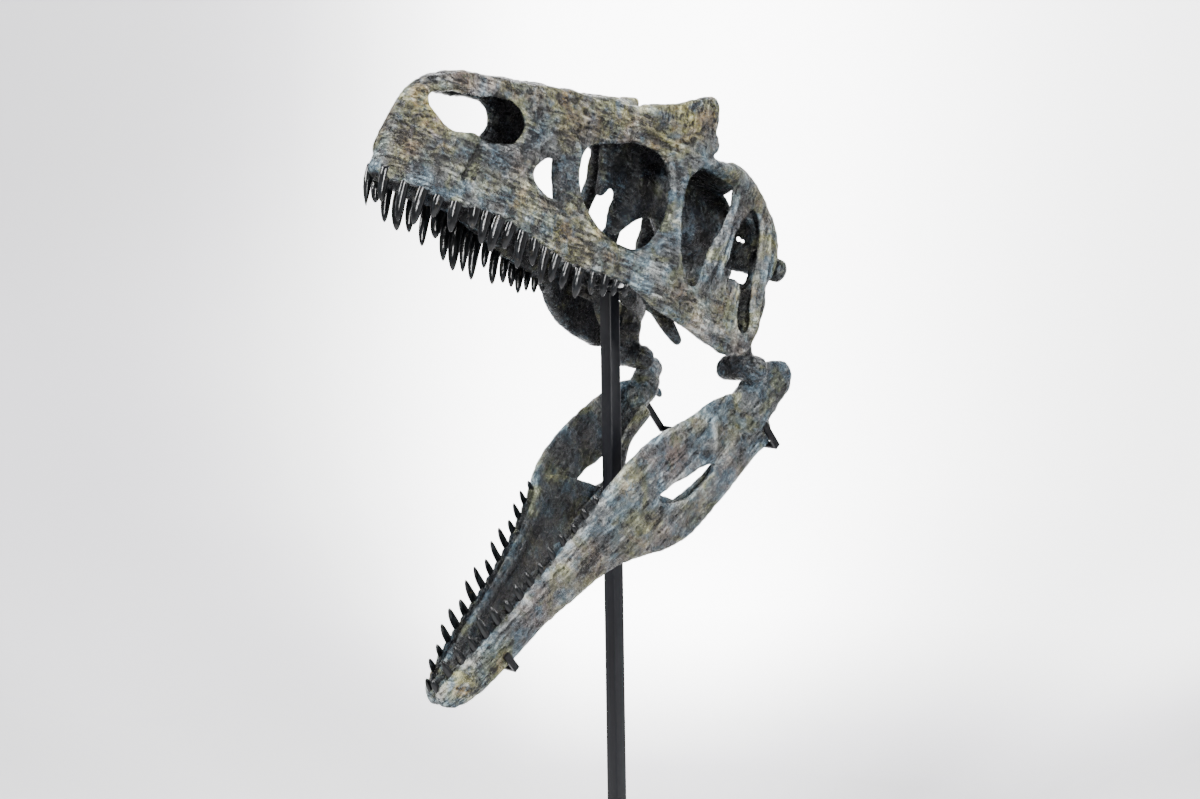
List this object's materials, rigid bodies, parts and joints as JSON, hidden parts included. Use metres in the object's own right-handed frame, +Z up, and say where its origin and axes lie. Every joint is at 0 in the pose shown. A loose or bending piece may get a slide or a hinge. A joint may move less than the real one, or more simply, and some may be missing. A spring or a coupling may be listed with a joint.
{
  "type": "dinosaur skull fossil on a stand",
  "caption": "Allosaurus skull with its lower jaw hanging open, teeth bared, held on a square steel post with a plate foot.",
  "frame": {"origin": "centre of the underside of the stand's base plate, under the post", "axes": "+Z up along the post; the snout points to -Y and the animal's left side is +X"},
  "size_m": [0.5, 0.8082, 1.753],
  "materials": {
    "fossil_bone": "slate grey fossil bone with pale worn ridges, satin",
    "ochre_bone": "grey fossil bone stained yellow and olive, satin",
    "pale_bone": "pale grey and pinkish tan fossil bone, satin",
    "dark_bone": "dark blue-grey fossil bone, satin",
    "stand_steel": "charcoal satin paint",
    "black_steel": "black satin paint"
  },
  "bodies": {
    "root": {"premaxilla_left": "fossil_bone", "premaxilla_right": "fossil_bone", "maxilla_left": "fossil_bone", "maxilla_right": "fossil_bone", "nasal_left": "ochre_bone", "nasal_right": "ochre_bone", "lacrimal_left": "ochre_bone", "lacrimal_right": "ochre_bone", "jugal_left": "fossil_bone", "jugal_right": "fossil_bone", "postorbital_left": "ochre_bone", "postorbital_right": "ochre_bone", "squamosal_left": "fossil_bone", "squamosal_right": "fossil_bone", "quadratojugal_left": "fossil_bone", "quadratojugal_right": "fossil_bone", "frontal_left": "fossil_bone", "frontal_right": "fossil_bone", "quadrate_left": "dark_bone", "quadrate_right": "dark_bone", "pterygoid_left": "dark_bone", "pterygoid_right": "dark_bone", "ectopterygoid_left": "dark_bone", "ectopterygoid_right": "dark_bone", "palatine_left": "dark_bone", "palatine_right": "dark_bone", "dentary_left": "pale_bone", "dentary_right": "pale_bone", "surangular_left": "pale_bone", "surangular_right": "pale_bone", "angular_left": "pale_bone", "angular_right": "pale_bone", "articular_left": "fossil_bone", "articular_right": "fossil_bone", "prearticular_left": "dark_bone", "prearticular_right": "dark_bone", "splenial_left": "dark_bone", "splenial_right": "dark_bone", "parietal": "dark_bone", "braincase": "dark_bone", "vomer": "dark_bone", "stand_base": "stand_steel", "stand_post": "stand_steel", "stand_saddle": "black_steel", "stand_crossbar": "black_steel", "stand_cradle_left": "black_steel", "stand_cradle_right": "black_steel"}
  },
  "joints": []
}
